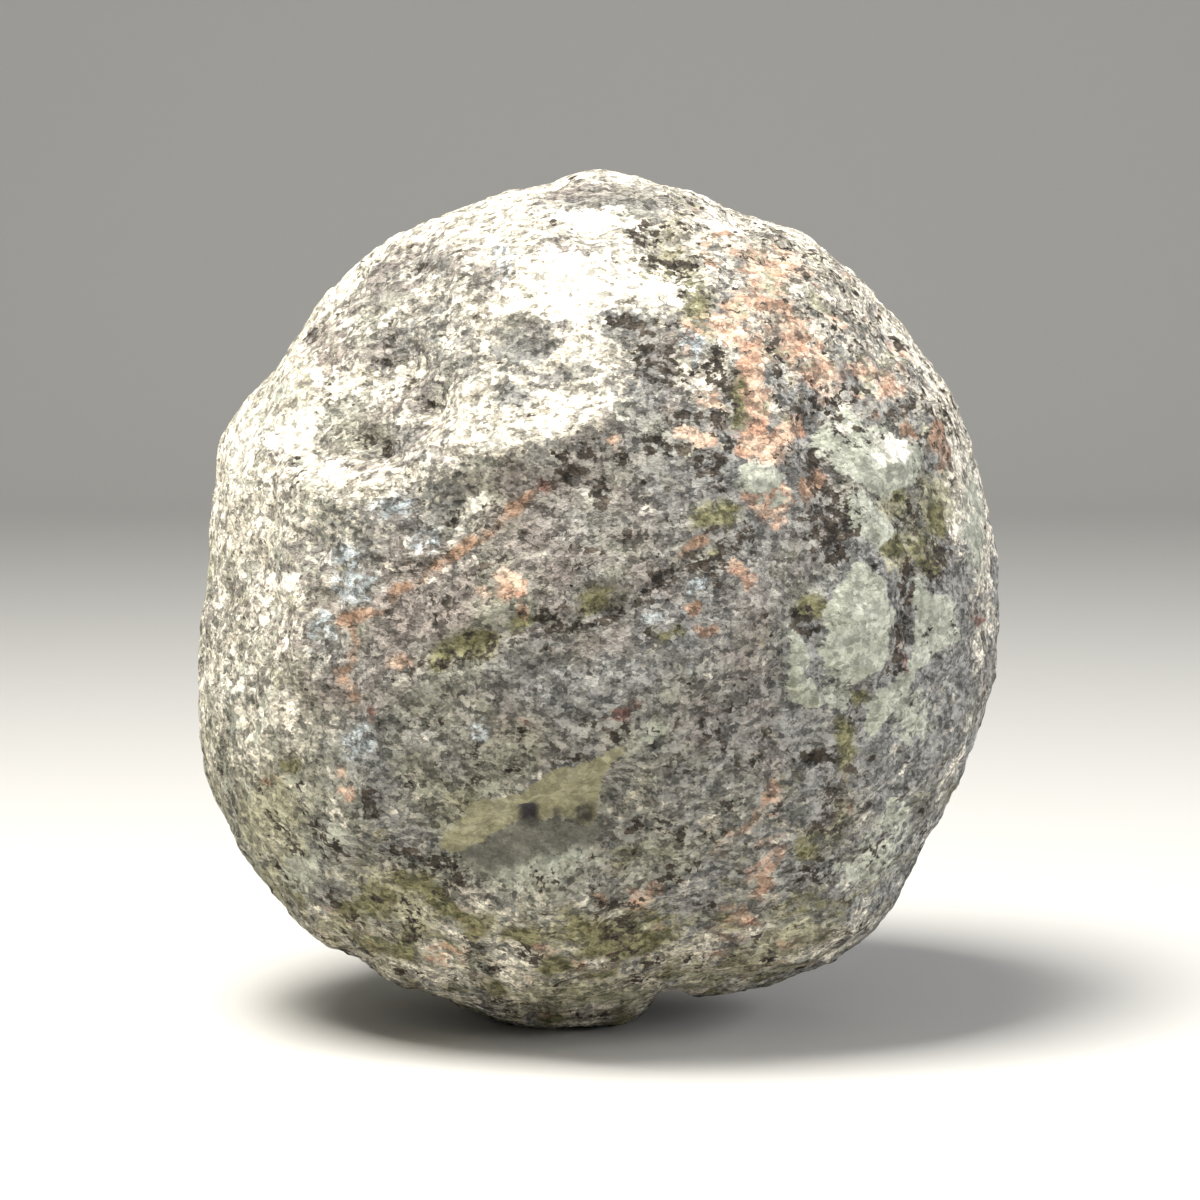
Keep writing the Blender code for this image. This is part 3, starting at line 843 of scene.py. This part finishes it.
# The share of grains that each stain takes.
COVERS = {
    "pinkish": shared(0.45, 0.9, 8.0, 56) - 0.006 * ragged_across,
    "greenish": shared(0.35, 0.8, 9.0, 69) + 0.5 * ease(-up - 0.35 * across, 12.0, 36.0),
    "lilac": shared(0.45, 0.9, 10.0, 68) + 0.006 * across - 0.003 * up,
    "salmon": front * np.maximum(salmon, right_top * shared(0.22, 0.8, 4.0, 73))
    + behind * 0.8 * drifts(11.0, 0.20, 74) * shared(1.0, 0.6, 3.0, 95),
    "bleach_and_painted_light": bleach_and_painted_light,
    "tan": np.maximum.reduce([
        front * 0.85 * patches(TAN_PATCHES),
        left_flank * shared(0.22, 0.9, 5.0, 99),
        front * right_top * shared(0.20, 0.8, 3.5, 100),
        front * bottom * shared(0.24, 0.8, 3.0, 101),
    ]),
    "olive": shared(0.05, 0.5, 5.0, 58)
    + low * shared(0.15, 0.7, 4.5, 75)
    + bottom * shared(0.08, 0.6, 4.0, 94)
    + front * np.maximum.reduce([
        (0.90 - 0.30 * low) * patches(OLIVE_PATCHES),
        0.70 * streak(OLIVE_STREAK, 0.9),
        (0.55 - 0.35 * low) * patches(OLIVE_HAZE),
    ])
    + behind * 0.8 * drifts(10.0, 0.24, 72),
    "rust": front * np.maximum.reduce([
        (0.9 - 0.45 * low) * patches(RUST_SPOTS),
        streak(RUST_VEIN, 0.8, 1.7, 0.4, 0.5) * shared(0.62, 0.5, 2.6, 91),
        0.55 * streak(RUST_BRANCH, 0.6),
        0.35 * streak(BROWN_CREASE, 0.6, stray=0.5),
        0.8 * streak(RUST_EDGE, 0.7),
        bottom * shared(0.10, 0.7, 3.6, 92),
    ]) + behind * 0.8 * drifts(5.0, 0.52, 76),
    "maroon": front * 0.75 * patches(MAROON_SPOTS),
    "pale": np.maximum(far_crusts, front * np.maximum.reduce([
        plates * (1.0 - 0.3 * low),
        0.75 * patches(PALE_CRUST),
        left_flank * shared(0.16, 0.9, 5.0, 97),
    ])),
    "floor": scar_floor,
    "broken": scar_face,
    # dark grains, together with the painted shade of the pits, the olive crease and the plates' edges
    "charcoal_and_painted_shade": (1.0 - scar) * np.maximum(
        shared(0.10, 0.5, 3.0, 57) + low * shared(0.06, 0.7, 4.0, 77) + 0.12 * middle,
        front * dark_spots,
    ) + behind * shared(0.22, 0.5, 15.0, 84) * drifts(6.0, 0.10, 66),
    # The holes' dark colour is painted shade inside them, less in the two half filled ones.
    "holes": front * np.maximum(
        ease(inside(DEEP_HOLE, 0.25), -0.4, 0.4), 0.65 * ease(inside(FILLED_HOLES, 0.25), -0.4, 0.4)
    ),
    "bluish": front * 0.60 * patches(BLUISH_SPOTS) + behind * 0.7 * drifts(6.0, 0.50, 64),
    "white": front * 0.85 * patches(WHITE_PATCHES)
    + behind * drifts(9.0, 0.42, 62) * ease(height_share, 0.1, 0.6),
}

# The crust's finish: dry, matt silica in sand grains of about half a millimetre, held in clots.
# Single grains are white, grey or nearly black, which gives the eye its salt and pepper, and the
# stains lie under them as soft washes of colour that only change over a millimetre or more.
SPECK = 0.30  # the finest specks, in millimetres
GRAIN = 0.65  # the sand grains
FLAKE = 1.25  # flakes of several grains
CLOT = 1.3  # clots of grains that take a stain together
LUMP = 1.8  # lumps and gaps that the weather opens
WASH = 3.0  # the blots that a stain soaks in by
SWAY = 0.09  # how far the grains' edges stray
SWAY_SIZE = 0.4
BEDDING = 1.3  # the ash settled in beds, so that every grain is this much longer than it is tall
BUMP = 0.55  # how far the grains stand out
# How much of a grain's lightness comes from itself rather than its flake, from its specks, and from
# the weather's lumps.
GRAIN_SHARE = 0.50
SPECK_SHARE = 0.20
LUMP_SHARE = 0.20
GRIP_SHARE = 0.35  # how much a stain's hold follows single grains rather than clots
RELIEF_SHARE = 0.35  # how much of the relief is single grains rather than lumps
# The darkest grains are this light against the wash of colour over them, and the lightest add this
# much to it. The curve makes dark grains the more common.
DARKEST = 0.28
LIGHTENING = 1.70
SHADE_CURVE = 1.3
SMOOTH_SHADE = 0.98  # the shade of a place that is quite smooth
ROUGHNESS = 0.88
GLOSS = 0.3
GREY_CRUST = ("#918e87", "#7f7c76")
# Each stain from the lowest to the topmost: its lighter and its darker blots, how smooth it is, how
# gently it gives way to the crust, and whether it takes hold of single grains.
STAINS = (
    ("pinkish", "#958b83", "#827972", 0.0, 0.35, False),
    ("greenish", "#959485", "#7f7e6e", 0.0, 0.35, False),
    ("lilac", "#8f8e89", "#7c7b78", 0.0, 0.35, False),
    ("salmon", "#d6bca5", "#b88f77", 0.1, 0.25, False),
    # the pale crust of the top and sides, also carrying the painted light of the rims and the bottom
    ("bleach_and_painted_light", "#e0dacb", "#cbc2b0", 0.0, 0.20, True),
    ("tan", "#b9b59c", "#9b977f", 0.20, 0.20, True),
    ("olive", "#838060", "#636042", 0.10, 0.30, True),
    ("rust", "#ab8f7a", "#8e735e", 0.1, 0.25, False),
    ("maroon", "#8b6d64", "#6b4f47", 0.1, 0.20, True),
    ("pale", "#bcbdae", "#a2a494", 0.45, 0.16, True),
    ("floor", "#86857a", "#747369", 0.60, 0.50, False),
    ("broken", "#a39f85", "#8d896d", 0.60, 0.15, True),
    # dark grains, and the painted shade laid with them
    ("charcoal_and_painted_shade", "#534b42", "#38332c", 0.0, 0.12, True),
    # painted shade inside the scar's holes
    ("holes", "#4b474a", "#3b393b", 0.5, 0.50, False),
    ("bluish", "#c5cbcb", "#a4abad", 0.0, 0.20, True),
    ("white", "#f0ecdf", "#e2dbca", 0.3, 0.15, True),
)


def linear(colour):
    """An sRGB hex colour as linear red, green, blue and 1."""
    parts = [int(colour[start:start + 2], 16) / 255.0 for start in (1, 3, 5)]
    return [part / 12.92 if part <= 0.04045 else ((part + 0.055) / 1.055) ** 2.4 for part in parts] + [1.0]


def add(tree, kind, inputs=None, **settings):
    """Adds a node with its settings, links the sockets given for its inputs and sets the values given."""
    made = tree.nodes.new("ShaderNode" + kind)
    for name, value in settings.items():
        setattr(made, name, value)
    for name, value in (inputs or {}).items():
        if isinstance(value, bpy.types.NodeSocket):
            tree.links.new(value, made.inputs[name])
        else:
            made.inputs[name].default_value = value
    return made.outputs


def per_metre(size):
    """The scale that gives a pattern this size in millimetres."""
    return 1.0 / (size * MM)


def crust_material():
    """The grey ground, the soft stains laid on it, and the light and dark of single grains over them all."""
    material = bpy.data.materials.new("weathered_silicified_ash")
    material.use_nodes = True
    tree = material.node_tree
    shader = tree.nodes["Principled BSDF"]
    place = add(tree, "TexCoord")["Object"]
    place = add(tree, "VectorMath", {0: place, 1: (1.0, 1.0, BEDDING)}, operation="MULTIPLY")["Vector"]
    sway = add(tree, "TexNoise", {"Vector": place, "Scale": per_metre(SWAY_SIZE), "Detail": 0.0})["Color"]
    swayed = {0: 2.0 * SWAY * MM, 6: place, 7: sway}
    bent = add(tree, "Mix", swayed, data_type="RGBA", blend_type="LINEAR_LIGHT")[2]
    softly = {"interpolation_type": "SMOOTHSTEP"}
    in_colour = {"data_type": "RGBA"}

    def grains(size):
        """Red, green and blue at random for each blocky grain of this size."""
        settings = {"Vector": bent, "Scale": per_metre(size)}
        colour = add(tree, "TexVoronoi", settings, distance="MANHATTAN")["Color"]
        return add(tree, "SeparateColor", {"Color": colour})

    def blots(size, roughness):
        """Red, green and blue as three soft patterns whose largest waves are of this size."""
        settings = {"Vector": bent, "Scale": per_metre(size), "Detail": 2.0, "Roughness": roughness}
        return add(tree, "SeparateColor", {"Color": add(tree, "TexNoise", settings)["Color"]})

    corner = add(tree, "VectorMath", {0: bent, 1: (SPECK * MM,) * 3}, operation="SNAP")["Vector"]
    speck = add(tree, "TexWhiteNoise", {"Vector": corner})["Value"]
    grain = grains(GRAIN)
    flake = grains(FLAKE)
    lumps = {"Vector": bent, "Scale": per_metre(LUMP), "Detail": 4.0, "Roughness": 0.72}
    waves = add(tree, "TexNoise", lumps)["Fac"]
    raised = add(tree, "MapRange", {0: waves, 1: 0.30, 2: 0.70}, **softly)[0]
    tone = add(tree, "Mix", {0: GRAIN_SHARE, 2: flake["Red"], 3: grain["Red"]})[0]
    tone = add(tree, "Mix", {0: SPECK_SHARE, 2: tone, 3: speck})[0]
    tone = add(tree, "Mix", {0: LUMP_SHARE, 2: tone, 3: raised})[0]
    wash = blots(WASH, 0.60)
    clots = blots(CLOT, 0.65)
    soaks = [
        add(tree, "MapRange", {0: wash[channel], 1: 0.30, 2: 0.70}, **softly)[0]
        for channel in ("Red", "Green", "Blue")
    ]
    grips = []
    for channel in ("Green", "Blue"):
        clot = add(tree, "MapRange", {0: clots[channel], 1: 0.36, 2: 0.64}, **softly)[0]
        grips.append(add(tree, "Mix", {0: GRIP_SHARE, 2: clot, 3: grain[channel]})[0])

    ground = {0: soaks[0], 6: linear(GREY_CRUST[1]), 7: linear(GREY_CRUST[0])}
    colour = add(tree, "Mix", ground, **in_colour)[2]
    smooth = 0.0
    for step, (name, light, dark, calm, edge, by_grain) in enumerate(STAINS):
        cover = add(tree, "Attribute", attribute_name=name)["Fac"]
        hold = grips[step % 2] if by_grain else soaks[step % 3]
        above = {0: hold, 1: 2.0 * edge - 1.0, 2: cover}
        above = add(tree, "Math", above, operation="MULTIPLY_ADD")[0]
        taken = add(tree, "MapRange", {0: above, 1: 0.0, 2: 2.0 * edge}, **softly)[0]
        stain = {0: soaks[(step + 1) % 3], 6: linear(dark), 7: linear(light)}
        stain = add(tree, "Mix", stain, **in_colour)[2]
        colour = add(tree, "Mix", {0: taken, 6: colour, 7: stain}, **in_colour)[2]
        smooth = add(tree, "Mix", {0: taken, 2: smooth, 3: calm})[0]
    stretch = add(tree, "MapRange", {0: tone, 1: 0.10, 2: 0.90}, **softly)[0]
    stretch = add(tree, "Math", {0: stretch, 1: SHADE_CURVE}, operation="POWER")[0]
    shade = add(tree, "Math", {0: stretch, 1: LIGHTENING, 2: DARKEST}, operation="MULTIPLY_ADD")[0]
    shade = add(tree, "Mix", {0: smooth, 2: shade, 3: SMOOTH_SHADE})[0]
    colour = add(tree, "VectorMath", {0: colour, "Scale": shade}, operation="SCALE")["Vector"]
    tree.links.new(colour, shader.inputs["Base Color"])

    worn = add(tree, "MapRange", {0: waves, 1: 0.15, 2: 0.85}, **softly)[0]
    relief = add(tree, "Mix", {0: RELIEF_SHARE, 2: worn, 3: grain["Red"]})[0]
    relief = add(tree, "Mix", {0: smooth, 2: relief, 3: 0.5})[0]
    bump = add(tree, "Bump", {"Height": relief, "Strength": 1.0, "Distance": BUMP * MM})["Normal"]
    tree.links.new(bump, shader.inputs["Normal"])
    shader.inputs["Roughness"].default_value = ROUGHNESS
    shader.inputs["Specular IOR Level"].default_value = GLOSS
    return material


def grain_relief():
    """Grains, pits and plates that are too fine for the solid, as a height in millimetres."""
    height = np.zeros(len(spots))
    for seed, (size, tall, creased) in enumerate(GRAIN_RELIEF):
        noise = gradient_noise(spots, size, 80 + seed)
        height += tall * (0.25 - np.abs(noise) if creased else noise)
    calm = np.maximum(scar, 0.7 * front * plates)
    height = height * (1.0 - 0.8 * calm) + PLATE_THICKNESS * np.maximum(far_crusts, front * plates)
    height -= PIT_DEPTH * front * patches(PIT_MOUTHS, 1.6, 0.2)
    return height - HOLE_DEPTH * COVERS["holes"]


points = spots + directions * grain_relief()[:, None] + (SIDEWAYS, BACKWARDS, REST_HEIGHT)
points[:, 2] = np.maximum(points[:, 2], 0.0)
mesh = bpy.data.meshes.new("geode_crust")
mesh.from_pydata((points * MM).tolist(), [], quads.tolist())
mesh.shade_smooth()
for name, cover in COVERS.items():
    mesh.attributes.new(name, "FLOAT", "POINT").data.foreach_set("value", np.clip(cover, 0.0, 1.0))
mesh.materials.append(crust_material())
stone = bpy.data.objects.new("geode_crust", mesh)
bpy.context.scene.collection.objects.link(stone)
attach(stone, "root")
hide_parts("geode")

# The studio: a pale sheet that lies under the stone and bends up behind it, as a photographer
# hangs it. It is matt, so that it takes a soft shadow and shows no reflection.
SHEET_WIDTH = 3.0
SHEET_FRONT = -1.2
SHEET_BEND = 0.9  # where the sheet starts to rise
BEND_RADIUS = 0.5
BEND_STEPS = 24
SHEET_TOP = 2.4
SHEET_COLOUR = "#d9d7d2"
SHEET_ROUGHNESS = 0.95


def paper_sheet():
    """A flat run, a quarter circle and an upright run, carried straight across the sheet's width."""
    bend = np.linspace(0.0, math.pi / 2, BEND_STEPS)
    curve = SHEET_BEND + BEND_RADIUS * np.sin(bend)
    back = np.concatenate([[SHEET_FRONT], curve, [SHEET_BEND + BEND_RADIUS]])
    rise = np.concatenate([[0.0], BEND_RADIUS * (1.0 - np.cos(bend)), [SHEET_TOP]])
    left = np.stack([np.full(len(back), -SHEET_WIDTH / 2), back, rise], axis=1)
    right = left * (-1.0, 1.0, 1.0)
    step = np.arange(len(back) - 1)
    faces = np.stack([step, step + len(back), step + len(back) + 1, step + 1], axis=1)
    mesh = bpy.data.meshes.new("paper_sheet")
    mesh.from_pydata(np.concatenate([left, right]).tolist(), [], faces.tolist())
    mesh.shade_smooth()
    material = bpy.data.materials.new("matt_paper")
    material.use_nodes = True
    shader = material.node_tree.nodes["Principled BSDF"]
    shader.inputs["Base Color"].default_value = linear(SHEET_COLOUR)
    shader.inputs["Roughness"].default_value = SHEET_ROUGHNESS
    mesh.materials.append(material)
    sheet = bpy.data.objects.new("paper_sheet", mesh)
    bpy.context.scene.collection.objects.link(sheet)


paper_sheet()

# The light: one broad lamp above and to the left, which bleaches the top of the stone, a weak
# one from the right, and a pale room all round that opens the shadows.
MIDDLE = Vector((SIDEWAYS, BACKWARDS, REST_HEIGHT)) * MM
# Each lamp's name, place in metres, width, power and colour.
LAMPS = (
    ("key lamp", (-0.18, -0.18, 0.64), 0.30, 8.0, "#fffdf8"),
    ("side lamp", (0.70, -0.10, 0.30), 0.40, 3.2, "#f4f6ff"),
)
ROOM_COLOUR = "#eef0f2"
ROOM_STRENGTH = 0.26


def aimed(made, name, place):
    """A lamp or a camera at a place in metres, turned to look at the middle of the stone."""
    holder = bpy.data.objects.new(name, made)
    holder.location = place
    holder.rotation_euler = (MIDDLE - Vector(place)).to_track_quat("-Z", "Y").to_euler()
    bpy.context.scene.collection.objects.link(holder)
    return holder


for name, place, size, power, colour in LAMPS:
    lamp = bpy.data.lights.new(name, "AREA")
    lamp.size = size
    lamp.energy = power
    lamp.color = linear(colour)[:3]
    aimed(lamp, name, place)
room = bpy.data.worlds.new("pale room")
room.use_nodes = True
room.node_tree.nodes["Background"].inputs["Color"].default_value = linear(ROOM_COLOUR)
room.node_tree.nodes["Background"].inputs["Strength"].default_value = ROOM_STRENGTH
bpy.context.scene.world = room
bpy.context.scene.view_settings.view_transform = "Standard"

# The camera: a long lens a little above level, half a metre from the stone, so that the stone
# fills two thirds of a square picture.
LENS = 129.4
SENSOR_WIDTH = 36.0
LENS_RISE = -2.0 / 1200.0  # the stone sits this share of the picture above its middle
camera = bpy.data.cameras.new("camera")
camera.lens = LENS
camera.sensor_width = SENSOR_WIDTH
camera.shift_y = LENS_RISE
tilt = math.radians(EYE_TILT)
eye = MIDDLE + EYE_DISTANCE * MM * Vector((0.0, -math.cos(tilt), math.sin(tilt)))
bpy.context.scene.camera = aimed(camera, "camera", eye)
